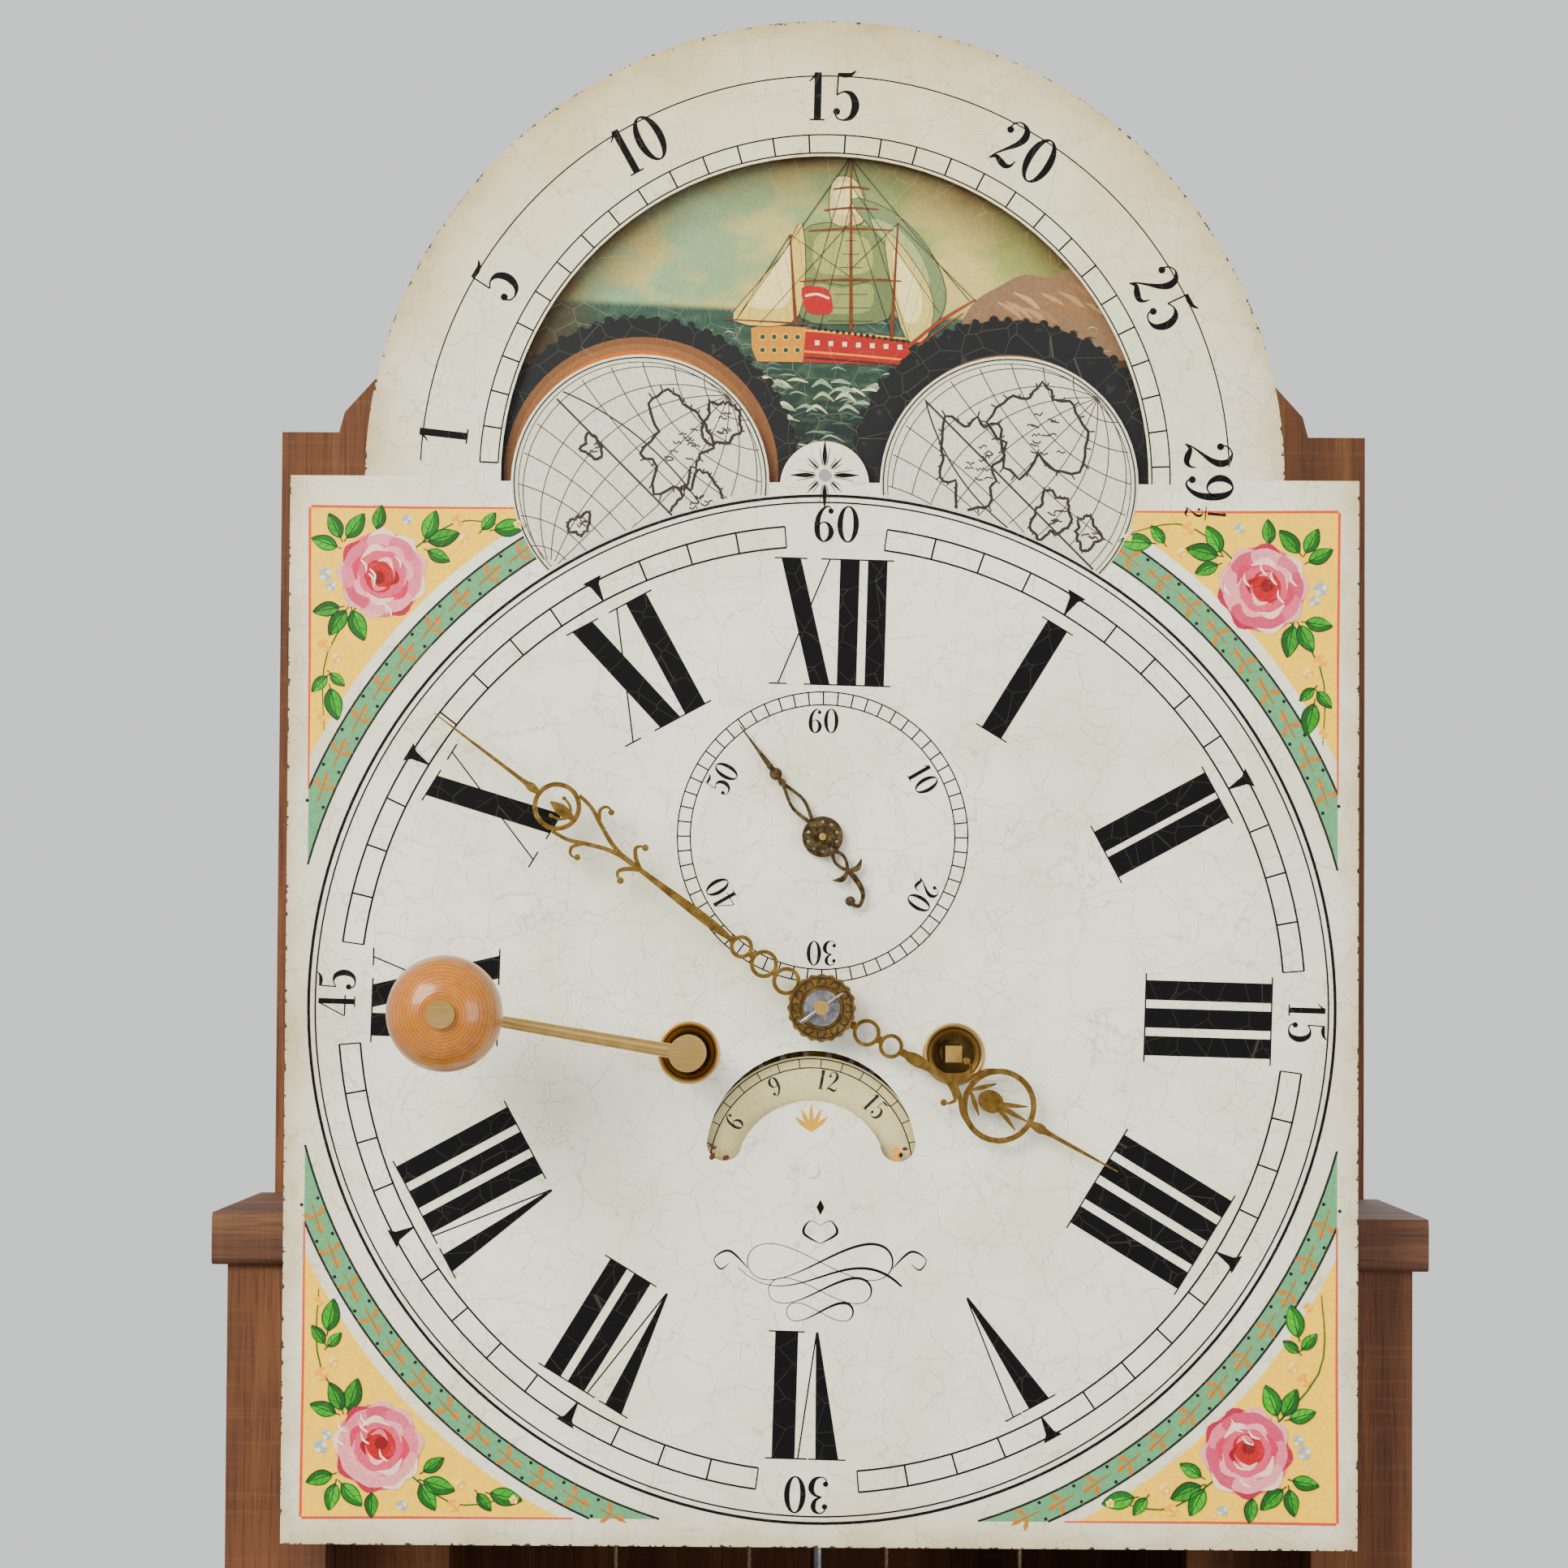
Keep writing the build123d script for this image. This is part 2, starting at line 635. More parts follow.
# ---------------------------------------------------------------- dial
with BuildPart() as dial_plate:
    with BuildSketch(facing(dial_back)):
        with Locations((0, (arch_rise - dial_drop) / 2)):
            Rectangle(dial_width, arch_rise + dial_drop)
        with Locations((0, arch_rise)):
            Circle(arch_radius)
    extrude(amount=dial_thickness)
    with BuildSketch(facing(dial_back)):
        with Locations((0, arch_rise)):
            Circle(moon_window_radius)
        with Locations((0, arch_rise - 1.5 - moon_window_radius)):
            Rectangle(3 * moon_window_radius, 2 * moon_window_radius, mode=Mode.SUBTRACT)
        with Locations((-hump_offset, hump_rise), (hump_offset, hump_rise)):
            Circle(hump_radius, mode=Mode.SUBTRACT)
        with Locations((0, boss_rise)):
            Circle(boss_radius, mode=Mode.SUBTRACT)
    extrude(amount=dial_thickness, mode=Mode.SUBTRACT)
    with BuildSketch(facing(dial_back)):
        with Locations((date_x, -date_window_outer_drop)):
            Circle(date_window_outer)
        with Locations((date_x, -date_window_inner_drop)):
            Circle(date_window_inner, mode=Mode.SUBTRACT)
        with Locations((date_x, -date_window_floor - date_window_outer)):
            Rectangle(3 * date_window_outer, 2 * date_window_outer, mode=Mode.SUBTRACT)
        window_out = sqrt(date_window_outer**2 - (date_window_outer_drop - date_window_floor) ** 2)
        window_in = sqrt(date_window_inner**2 - (date_window_inner_drop - date_window_floor) ** 2)
        window_end = (window_out + window_in) / 2
        with Locations((date_x - window_end, -date_window_floor), (date_x + window_end, -date_window_floor)):
            Circle((window_out - window_in) / 2)
    extrude(amount=dial_thickness, mode=Mode.SUBTRACT)
    with BuildSketch(facing(dial_back)):
        Circle(hour_pipe_radius + 1.6)
        with Locations(escape_at):
            Circle(3.2)
        with Locations(great_at, strike_at):
            Circle(grommet_outer + 0.05)
        with Locations((0, arch_rise + 1.0), (date_x, -date_drop)):
            Circle(2.0)
    extrude(amount=dial_thickness, mode=Mode.SUBTRACT)
finish(dial_plate, "dial_plate")

moon_at = (0.0, arch_rise + 1.0)
date_at = (date_x, -date_drop)
with BuildPart() as dial_fixings:
    for place in (moon_at, date_at):
        rod(place, 2.0, dial_front - 0.6, disc_front + disc_thickness + 2.0)
        rod(place, 4.5, disc_front + disc_thickness + 0.5, disc_front + disc_thickness + 2.0)
        rod(place, 4.0, dial_back, disc_front - 0.5)
    for place in dial_foot_places:
        rod(place, 5.5, dial_back, dial_back + 1.5)
        rod(place, 3.4, dial_back, front_plate_y)
        rod(place, 2.4, front_plate_y, train_front + 5)
        pin_height = (place[0], train_front + 2.5, hand_height + place[1])
        with Locations(Location(pin_height, (0, 90, 0))):
            Cylinder(0.8, 12)
finish(dial_fixings, "dial_fixings")

with BuildPart() as winding_grommets:
    for place in (great_at, strike_at):
        with BuildSketch(facing(dial_front, place)):
            Circle(grommet_flange)
            Circle(grommet_inner, mode=Mode.SUBTRACT)
        extrude(amount=0.7)
        with BuildSketch(facing(dial_back + 1.5, place)):
            Circle(grommet_outer)
            Circle(grommet_inner, mode=Mode.SUBTRACT)
        extrude(amount=dial_thickness + 1.5)
finish(winding_grommets, "winding_grommets")

with BuildPart() as moon_disc:
    moon_module = 2 * moon_disc_radius / (moon_teeth + 1.5)
    toothed_disc(moon_at, moon_teeth, moon_module, 0, disc_front, disc_thickness)
    rod(moon_at, 2.06, disc_front, disc_front + disc_thickness, mode=Mode.SUBTRACT)
finish(moon_disc, "moon_disc")

with BuildPart() as date_disc:
    date_module = 2 * date_disc_radius / (date_teeth + 1.5)
    toothed_disc(date_at, date_teeth, date_module, 0, disc_front, disc_thickness)
    rod(date_at, 2.06, disc_front, disc_front + disc_thickness, mode=Mode.SUBTRACT)
finish(date_disc, "date_disc")

# ---------------------------------------------------------------- movement frame


def movement_plate(label, front, front_holes, studs=()):
    """One brass plate of the movement, with its pivot holes and any front studs."""
    with BuildPart() as plate:
        plate_height = plate_top + seat_drop
        with BuildSketch(facing(front + plate_thickness, (0, (plate_top - seat_drop) / 2))):
            Rectangle(2 * plate_half_width, plate_height)
        extrude(amount=plate_thickness)
        fillet(plate.edges().filter_by(Axis.Y), radius=2.0)
        for place, radius in front_holes:
            rod(place, radius, front, front + plate_thickness, mode=Mode.SUBTRACT)
        for place, radius, length in studs:
            rod(place, radius, front - length, front + plate_thickness)
    finish(plate, label)
    return plate


pivot_hole = pivot_radius + running_clearance
plate_pivots = [(place, pivot_hole) for place in (third_at, pin_at, warning_at, fly_at, hammer_at)]
barrel_holes = [(place, barrel_arbor_radius - 0.5 + running_clearance) for place in (great_at, strike_at)]
pillar_holes = [(place, 3.0) for place in pillar_places]
foot_holes = [(place, 2.45) for place in dial_foot_places]
front_plate = movement_plate(
    "front_plate",
    front_plate_y,
    plate_pivots
    + barrel_holes
    + pillar_holes
    + foot_holes
    + [(centre_at, centre_arbor_radius + running_clearance)]
    + [(place, 1.2 + running_clearance) for place in (escape_at, gathering_at)]
    + [(anchor_at, pivot_hole)],
    [(minute_at, stud_radius, 20.0), (rack_at, 1.5, 9.0), (rack_hook_at, 1.5, 9.0), (lifting_at, 1.5, 6.5)],
)
back_plate = movement_plate(
    "back_plate",
    train_back,
    plate_pivots
    + barrel_holes
    + pillar_holes
    + [(centre_at, pivot_hole), (escape_at, pivot_hole), (gathering_at, pivot_hole), (anchor_at, 8.0)],
)

with BuildPart() as movement_pillars:
    for place in pillar_places:
        half = plate_gap / 2
        middle = (place[0], train_front + half, hand_height + place[1])
        with BuildSketch(Plane(origin=middle, x_dir=(0, 1, 0), z_dir=(1, 0, 0))):
            with BuildLine():
                Polyline((-half, 0), (-half, 4.5), (-half + 4, 4.5), (-half + 6, 3.4))
                Spline((-half + 6, 3.4), (-half / 2, 3.2), (-5, 3.6))
                Polyline((-5, 3.6), (-3, 4.6), (3, 4.6), (5, 3.6))
                Spline((5, 3.6), (half / 2, 3.2), (half - 6, 3.4))
                Polyline((half - 6, 3.4), (half - 4, 4.5), (half, 4.5), (half, 0), (-half, 0))
            make_face()
        revolve(axis=Axis(middle, (0, 1, 0)))
        rod(place, 2.95, front_plate_y - 3.0, back_plate_y + 1.0)
        with Locations(Location((place[0], front_plate_y - 1.4, hand_height + place[1]), (0, 90, 0))):
            Cylinder(0.9, 11)
    for side in (-1, 1):
        with Locations((side * pillar_places[1][0], barrel_front, hand_height + pillar_places[1][1] - 5)):
            Cylinder(2.55, 12, mode=Mode.SUBTRACT)
finish(movement_pillars, "movement_pillars")

cock_front = back_plate_y + 9.5
cock_slot = 1.6
cock_back = pendulum_y + 6.0
with BuildPart() as back_cock:
    for side in (-1, 1):
        block(
            (side * 21, side * 28),
            (back_plate_y, cock_front + 4),
            (hand_height + anchor_rise - 7, hand_height + anchor_rise + 9),
        )
    block(
        (-28, 28), (cock_front, cock_front + 4),
        (hand_height + anchor_rise - 7, hand_height + anchor_rise + 16)
    )
    block(
        (-9, 9), (cock_front + 4, cock_back), (hand_height + anchor_rise + 6, hand_height + anchor_rise + 16)
    )
    block(
        (-cock_slot, cock_slot),
        (cock_front + 6, cock_back + 1),
        (hand_height + anchor_rise + 5, hand_height + anchor_rise + 17),
        mode=Mode.SUBTRACT,
    )
    rod(anchor_at, pivot_hole, cock_front, cock_front + 4, mode=Mode.SUBTRACT)
finish(back_cock, "back_cock")

bell_at = (-40.0, train_front + 19.0)
bell_rim = hand_height + plate_top + 8.0
bell_radius, bell_wall = 46.0, 3.0
bell_height = 34.0
with BuildPart() as bell:
    with BuildSketch(Plane(origin=(bell_at[0], bell_at[1], bell_rim), x_dir=(1, 0, 0), z_dir=(0, -1, 0))):
        with BuildLine():
            Spline(
                (bell_radius, 0), (bell_radius - 6, bell_height * 0.6),
                (0, bell_height), tangents=((0, 1), (-1, 0))
            )
            Line((0, bell_height), (0, bell_height - bell_wall))
            inner = Spline(
                (0, bell_height - bell_wall),
                (bell_radius - 9, bell_height * 0.55),
                (bell_radius - bell_wall, 0),
                tangents=((1, 0), (0, -1)),
            )
            Line((bell_radius - bell_wall, 0), (bell_radius, 0))
        make_face()
    revolve(axis=Axis((bell_at[0], bell_at[1], bell_rim), (0, 0, 1)))
    with Locations((bell_at[0], bell_at[1], bell_rim + bell_height)):
        Cylinder(3.05, 20, mode=Mode.SUBTRACT)
finish(bell, "bell")

with BuildPart() as bell_stand:
    stand_top = bell_rim + bell_height + 0.1
    stand_x = (bell_at[0] - 6, bell_at[0] + 6)
    block(stand_x, (back_plate_y, back_plate_y + 2.5), (hand_height + 58, stand_top + 2.5))
    block(stand_x, (bell_at[1] - 6, back_plate_y + 2.5), (stand_top, stand_top + 2.5))
    with Locations((bell_at[0], bell_at[1], stand_top - 4)):
        Cylinder(3.0, 20)
finish(bell_stand, "bell_stand")


# ---------------------------------------------------------------- trains
def barrel(label, place):
    """Winding barrel with its arbor, winding square and ratchet."""
    with BuildPart() as turned:
        rod(place, barrel_radius, barrel_front, barrel_back)
        rod(place, barrel_flange, barrel_front, barrel_front + 1.5)
        rod(place, barrel_flange, barrel_back - 1.5, barrel_back)
        rod(place, barrel_arbor_radius, train_front + end_shake, train_back - end_shake)
        rod(place, barrel_arbor_radius - 0.5, front_plate_y - 12, back_plate_y)
        with BuildSketch(facing(front_plate_y - 12, place)):
            Rectangle(winding_square, winding_square)
        extrude(amount=front_plate_y - 12 - (dial_front + 0.6))
    finish(turned, label)
    return turned


going_barrel = barrel("going_barrel", great_at)
strike_barrel = barrel("strike_barrel", strike_at)


def great_wheel(label, place, teeth, module):
    """Great wheel that runs free on the barrel arbor, with its click and click spring."""
    with BuildPart() as wheel:
        front = back_offset(2.0, 2.5)
        with BuildSketch(facing(front + 2.5, place)):
            Polygon(*tooth_points(teeth, module, 0), align=None)
            Circle(barrel_arbor_radius + running_clearance, mode=Mode.SUBTRACT)
            with PolarLocations(module * teeth * 0.36, 4, start_angle=45):
                Circle(module * teeth * 0.07, mode=Mode.SUBTRACT)
        extrude(amount=2.5)
    finish(wheel, label)
    return wheel


going_great_wheel = great_wheel("going_great_wheel", great_at, great_teeth, great_module)
strike_great_wheel = great_wheel("strike_great_wheel", strike_at, strike_teeth, strike_module)

with BuildPart() as centre_wheel:
    rod(centre_at, centre_arbor_radius, minute_hand_y - 6, train_back - end_shake)
    rod(centre_at, pivot_radius, minute_hand_y, train_back - end_shake + pivot_length)
    toothed_disc(centre_at, centre_pinion, great_module, centre_phase, back_offset(0.6, 6), 6, pinion=True)
    toothed_wheel(centre_at, centre_teeth, centre_module, centre_phase, back_offset(52.0), 5.0)
    rod(centre_at, 4.5, back_offset(52.0) - 3, back_offset(52.0) + wheel_thickness)
finish(centre_wheel, "centre_wheel")

with BuildPart() as third_wheel:
    pivoted_arbor(third_at)
    toothed_disc(
        third_at, third_pinion, centre_module, third_phase, back_offset(49.5, 7), pinion_length, pinion=True
    )
    toothed_wheel(third_at, third_teeth, third_module, third_phase, back_offset(20.0), 4.5)
    rod(third_at, 4.0, back_offset(20.0) - 3, back_offset(20.0) + wheel_thickness)
finish(third_wheel, "third_wheel")

seconds_hand_y = dial_front - 3.0
with BuildPart() as escape_wheel:
    rod(escape_at, arbor_radius, train_front + end_shake, train_back - end_shake)
    rod(escape_at, pivot_radius, train_front, train_back - end_shake + pivot_length)
    rod(escape_at, 1.2, seconds_hand_y - 1.5, train_front + end_shake)
    toothed_disc(
        escape_at, escape_pinion, third_module, escape_phase, back_offset(17.0, 7), pinion_length, pinion=True
    )
    with BuildSketch(facing(back_offset(8.0) + wheel_thickness, escape_at)):
        escape_points = []
        for tooth in range(escape_teeth):
            start = 360.0 * tooth / escape_teeth
            escape_points += [polar(escape_radius - 4.5, start), polar(escape_radius, start + 1.0)]
            escape_points += [polar(escape_radius, start + 2.0), polar(escape_radius - 4.5, start + 7.5)]
        Polygon(*escape_points, align=None)
        Circle(escape_radius - 7.0, mode=Mode.SUBTRACT)
        Circle(4.5)
        with PolarLocations(0, 4, start_angle=10):
            Rectangle(escape_radius - 6.0, spoke_width, align=(Align.MIN, Align.CENTER))
    extrude(amount=wheel_thickness)
    rod(escape_at, 3.6, back_offset(8.0) - 3, back_offset(8.0) + wheel_thickness)
finish(escape_wheel, "escape_wheel")

# Recoil anchor with its crutch; the pallets stay just outside the escape wheel's tips
with BuildPart() as anchor:
    rod(anchor_at, arbor_radius, train_front + end_shake, cock_front - end_shake)
    rod(anchor_at, pivot_radius, train_front + end_shake - pivot_length, cock_front + 3.5)
    pallet_front = back_offset(8.0) - 0.6
    with BuildSketch(facing(pallet_front + 3.0, anchor_at)):
        with BuildLine():
            Polyline((-6, 4), (6, 4), (14, -2), (20.5, -14.5), (17.5, -15.5), (11, -5.5), (4, -4.5))
            Polyline((4, -4.5), (-4, -4.5), (-11, -5.5), (-17.5, -15.5), (-20.5, -14.5), (-14, -2), (-6, 4))
        make_face()
        with Locations((0, seconds_rise - anchor_rise)):
            Circle(escape_radius + 1.4, mode=Mode.SUBTRACT)
    extrude(amount=3.0)
    crutch_y = back_plate_y + 3.0
    crutch_end = hand_height - 22.0
    rod(anchor_at, 4.0, crutch_y - 1.5, crutch_y + 3.0)
    with BuildSketch(Plane.XY.offset(crutch_end)):
        with Locations((0, crutch_y + 1.0)):
            Circle(1.5)
    extrude(amount=hand_height + anchor_rise - crutch_end)
    block((-6.0, 6.0), (crutch_y - 1, crutch_y + 2.5), (crutch_end - 4, crutch_end + 1))
    for side in (-1, 1):
        prong = (rod_radius + 0.8, rod_radius + 3.4)
        block(
            (side * prong[0], side * prong[1]),
            (crutch_y - 1, pendulum_y + 5),
            (crutch_end - 4, crutch_end + 1),
        )
finish(anchor, "anchor")

with BuildPart() as cannon_wheel:
    toothed_disc(centre_at, cannon_teeth, cannon_module, 0, cannon_wheel_y, wheel_thickness)
    rod(centre_at, cannon_radius, minute_hand_y - 0.4, front_plate_y - 1.5)
    rod(centre_at, centre_arbor_radius, minute_hand_y - 2, front_plate_y, mode=Mode.SUBTRACT)
finish(cannon_wheel, "cannon_wheel")

with BuildPart() as minute_wheel:
    toothed_disc(minute_at, cannon_teeth, cannon_module, minute_phase, cannon_wheel_y, wheel_thickness)
    toothed_disc(
        minute_at, motion_pinion, hour_module, minute_phase,
        hour_wheel_y - 2.5, cannon_wheel_y - hour_wheel_y + 2.5, True
    )
    rod(minute_at, stud_radius + running_clearance, hour_wheel_y - 4, front_plate_y, mode=Mode.SUBTRACT)
finish(minute_wheel, "minute_wheel")

with BuildPart() as hour_wheel:
    toothed_wheel(centre_at, hour_teeth, hour_module, hour_phase, hour_wheel_y, 12.0)
    rod(centre_at, hour_pipe_radius, hour_hand_y - 1.0, hour_wheel_y + wheel_thickness)
    with BuildSketch(facing(snail_y + 1.6)):
        snail_steps = 12
        snail_points = []
        for step in range(snail_steps):
            radius = 20.0 - step * 0.9
            for share in (0.0, 0.5, 0.98):
                snail_points.append(polar(radius, (step + share) * 360.0 / snail_steps))
        Polygon(*snail_points, align=None)
    extrude(amount=1.6)
    rod(centre_at, 9.0, snail_y, hour_wheel_y)
    rod(centre_at, cannon_radius + 0.08, hour_hand_y - 2, hour_wheel_y + 3, mode=Mode.SUBTRACT)
finish(hour_wheel, "hour_wheel")

with BuildPart() as pin_wheel:
    pivoted_arbor(pin_at)
    toothed_disc(pin_at, pin_pinion, strike_module, pin_phase, back_offset(0.6, 6), 6, pinion=True)
    toothed_wheel(pin_at, pin_teeth, pin_module, pin_phase, back_offset(56.5), 4.5)
    rod(pin_at, 4.0, back_offset(56.5), back_offset(56.5) + wheel_thickness + 3)
    for pin in range(8):
        place = polar(pin_module * pin_teeth / 2 - 3.0, 45.0 * pin + 10, pin_at)
        rod(place, 0.8, back_offset(56.5) - 2.6, back_offset(56.5) + 0.5)
finish(pin_wheel, "pin_wheel")

with BuildPart() as gathering_wheel:
    rod(gathering_at, arbor_radius, train_front + end_shake, train_back - end_shake)
    rod(gathering_at, pivot_radius, train_front, train_back - end_shake + pivot_length)
    rod(gathering_at, 1.2, rack_y - 2, train_front + end_shake)
    toothed_disc(
        gathering_at, gathering_pinion, pin_module, gathering_phase,
        back_offset(54.0, 7), pinion_length, pinion=True
    )
    toothed_wheel(gathering_at, gathering_teeth, gathering_module, gathering_phase, back_offset(12.0), 4.0)
    rod(gathering_at, 3.4, back_offset(12.0) - 3, back_offset(12.0) + wheel_thickness)
    bar(gathering_at, polar(3.6, 200, gathering_at), 2.4, rack_y - 1.8, rack_y)
finish(gathering_wheel, "gathering_wheel")

with BuildPart() as warning_wheel:
    pivoted_arbor(warning_at, 1.3)
    toothed_disc(
        warning_at, warning_pinion, gathering_module, warning_phase,
        back_offset(9.5, 7), pinion_length, pinion=True
    )
    toothed_wheel(warning_at, warning_teeth, warning_module, warning_phase, back_offset(40.0), 3.4)
    rod(warning_at, 3.0, back_offset(40.0) - 3, back_offset(40.0) + wheel_thickness)
    stop_pin = polar(warning_module * warning_teeth / 2 - 2.5, 200, warning_at)
    rod(stop_pin, 0.6, back_offset(40.0) - 4, back_offset(40.0) + 0.5)
finish(warning_wheel, "warning_wheel")

with BuildPart() as fly:
    pivoted_arbor(fly_at, 1.1)
    toothed_disc(
        fly_at, fly_pinion, warning_module, fly_phase, back_offset(37.5, 7), pinion_length, pinion=True
    )
    block(
        (fly_at[0] - 9, fly_at[0] + 9),
        (train_back - 34, train_back - 17),
        (hand_height + fly_at[1] - 0.4, hand_height + fly_at[1] + 0.4),
    )
    rod(fly_at, 2.2, train_back - 34, train_back - 17)
finish(fly, "fly")

hammer_y = train_front + 2.2
with BuildPart() as hammer:
    pivoted_arbor(hammer_at, 1.8)
    tail_end = polar(pin_module * pin_teeth / 2 - 0.9, 152, pin_at)
    bar(hammer_at, tail_end, 2.2, hammer_y, hammer_y + 1.8)
    head_at = (bell_at[0] - bell_radius - 7.0, bell_rim + 5.0 - hand_height)
    shank_y = bell_at[1]
    bar(hammer_at, (head_at[0] - 1.0, head_at[1]), 3.0, shank_y - 1.5, shank_y + 1.5)
    with Locations(Location((head_at[0], shank_y, hand_height + head_at[1]), (0, 90, 0))):
        Cylinder(5.5, 10)
    rod(hammer_at, 3.4, shank_y - 3, shank_y + 3)
    rod(hammer_at, 3.0, hammer_y - 0.6, hammer_y + 3)
finish(hammer, "hammer")

with BuildPart() as rack:
    rack_outer, rack_inner, rack_count = 38.0, 33.5, 14
    rack_pitch = 2.3
    rack_start = 60.0
    with BuildSketch(facing(rack_y, rack_at)):
        rack_points = []
        for tooth in range(rack_count):
            angle = rack_start + rack_pitch * tooth
            rack_points += [polar(rack_outer - 2.0, angle), polar(rack_outer, angle + rack_pitch * 0.85)]
        rack_end = rack_start + rack_pitch * rack_count
        rack_points += [polar(rack_outer - 2.0, rack_end), polar(rack_inner, rack_end)]
        rack_points += [polar(rack_inner, (rack_start + rack_end) / 2), polar(rack_inner, rack_start)]
        Polygon(*rack_points, align=None)
    extrude(amount=1.5)
    bar(rack_at, polar(rack_inner + 1, rack_end - 4, rack_at), 4.0, rack_y - 1.5, rack_y)
    bar(rack_at, polar(rack_inner + 1, rack_start + 4, rack_at), 3.0, rack_y - 1.5, rack_y)
    rod(rack_at, 4.0, rack_y - 2.5, rack_y)
    rod(rack_at, 1.56, rack_y - 3, rack_y + 1, mode=Mode.SUBTRACT)
finish(rack, "rack")

with BuildPart() as rack_hook:
    hook_tip = polar(rack_outer + 3.6, 58.0, rack_at)
    bar(rack_hook_at, (hook_tip[0] + 2, hook_tip[1] + 5.0), 4.0, rack_y - 1.5, rack_y)
    bar(
        (hook_tip[0] + 2, hook_tip[1] + 5.0),
        (hook_tip[0] + 2.5, hook_tip[1] + 2.2), 3.0, rack_y - 1.5, rack_y
    )
    rod(rack_hook_at, 4.0, rack_y - 2.5, rack_y)
    rod(rack_hook_at, 1.56, rack_y - 3, rack_y + 1, mode=Mode.SUBTRACT)
finish(rack_hook, "rack_hook")

with BuildPart() as lifting_piece:
    bar(lifting_at, (-16.0, 38.0), 4.0, lifting_y, lifting_y + 1.5)
    bar(lifting_at, (14.0, -24.0), 4.0, lifting_y, lifting_y + 1.5)
    rod(lifting_at, 4.0, lifting_y - 1, lifting_y + 1.5)
    rod(lifting_at, 1.56, lifting_y - 3, lifting_y + 3, mode=Mode.SUBTRACT)
finish(lifting_piece, "lifting_piece")


# ---------------------------------------------------------------- hands
def ring(along, radius, width):
    """Flat ring on the hand's centre line, inside the current sketch."""
    with Locations((0, along)):
        Circle(radius)
        Circle(radius - width, mode=Mode.SUBTRACT)


def taper(start, end, first, last):
    """Tapered blade from first width to last width, inside the current sketch."""
    Polygon((-first / 2, start), (first / 2, start), (last / 2, end), (-last / 2, end), align=None)


with BuildPart() as minute_hand:
    with BuildSketch(facing(minute_hand_y + hand_thickness, centre_at, minute_hand_clockwise)):
        for along, radius in ((14.3, 4.7), (23.7, 4.7), (33.4, 3.8), (109.7, 8.1)):
            ring(along, radius, 1.4)
        taper(3, 40, 1.8, 1.8)
        with Locations((0, 58)):
            Ellipse(3.6, 21)
        taper(78, 101.8, 2.0, 2.0)
        with Locations((0, 80)):
            Ellipse(8.5, 2.2)
        with Locations((0, 94)):
            Ellipse(7.0, 2.0)
        taper(117, minute_hand_length, 3.6, 0.7)
        with Locations((0, 121)):
            Circle(2.6)
        Circle(11.4)
        Circle(cannon_radius, mode=Mode.SUBTRACT)
    extrude(amount=hand_thickness)
finish(minute_hand, "minute_hand")

with BuildPart() as hour_hand:
    with BuildSketch(facing(hour_hand_y + hand_thickness, centre_at, hour_hand_clockwise)):
        for along, radius, width in ((17.2, 4.5, 1.4), (26.4, 4.0, 1.4), (66.9, 12.4, 2.6)):
            ring(along, radius, width)
        taper(5, 30, 2.0, 2.0)
        with Locations((0, 40)):
            Ellipse(3.2, 11)
        taper(50, 56, 3.0, 3.0)
        with Locations((0, 52)):
            Ellipse(11.0, 2.4)
        with Locations((0, 66.9)):
            Ellipse(3.4, 10.5)
        taper(79, hour_hand_length, 5.0, 0.8)
        with Locations((0, 84)):
            Circle(3.6)
        Circle(12.6)
        Circle(hour_pipe_radius, mode=Mode.SUBTRACT)
    extrude(amount=hand_thickness)
finish(hour_hand, "hour_hand")

with BuildPart() as hand_collet:
    collet_back = minute_hand_y - 0.5
    with BuildSketch(facing(collet_back)):
        Circle(6.0)
        Circle(centre_arbor_radius + 0.02, mode=Mode.SUBTRACT)
    extrude(amount=2.2)
    with Locations(Location((0, collet_back - 3.4, hand_height), (0, 90 - 35, 0))):
        Cone(0.9, 0.5, 17)
    with BuildSketch(facing(collet_back)):
        Circle(centre_arbor_radius + 0.02)
    extrude(amount=6, mode=Mode.SUBTRACT)
finish(hand_collet, "hand_collet")

with BuildPart() as seconds_hand:
    with BuildSketch(facing(seconds_hand_y + 1.0, escape_at, seconds_hand_clockwise)):
        Circle(6.8)
        with Locations((0, 14.0)):
            Ellipse(4.2, 7.5)
            Ellipse(2.4, 5.4, mode=Mode.SUBTRACT)
        with Locations((0, 26)):
            Circle(2.4)
        taper(20, seconds_hand_length, 2.0, 0.6)
        with Locations((0, -14.5)):
            Ellipse(3.6, 8.0)
        with Locations((0, -26)):
            Ellipse(5.5, 2.4)
        taper(-38, -20, 1.6, 1.6)
        Circle(1.2, mode=Mode.SUBTRACT)
    extrude(amount=1.0)
finish(seconds_hand, "seconds_hand")

# ---------------------------------------------------------------- pendulum
pivot_z = hand_height + anchor_rise
bob_z = pivot_z - pendulum_length
with BuildPart() as pendulum_rod:
    block((-0.3, 0.3), (pendulum_y - 4, pendulum_y + 4), (pivot_z - 14, pivot_z + 14))
    block((-3.5, 3.5), (pendulum_y - 4, pendulum_y + 4), (pivot_z + 17, pivot_z + 21))
    block((-0.3, 0.3), (pendulum_y - 4, pendulum_y + 4), (pivot_z + 13, pivot_z + 18))
    block((-2.8, 2.8), (pendulum_y - 4.5, pendulum_y + 4.5), (pivot_z - 24, pivot_z - 13))
    with BuildSketch(Plane.XY.offset(bob_z - bob_radius - 28)):
        with Locations((0, pendulum_y)):
            Circle(rod_radius)
    extrude(amount=pivot_z - 20 - (bob_z - bob_radius - 28))
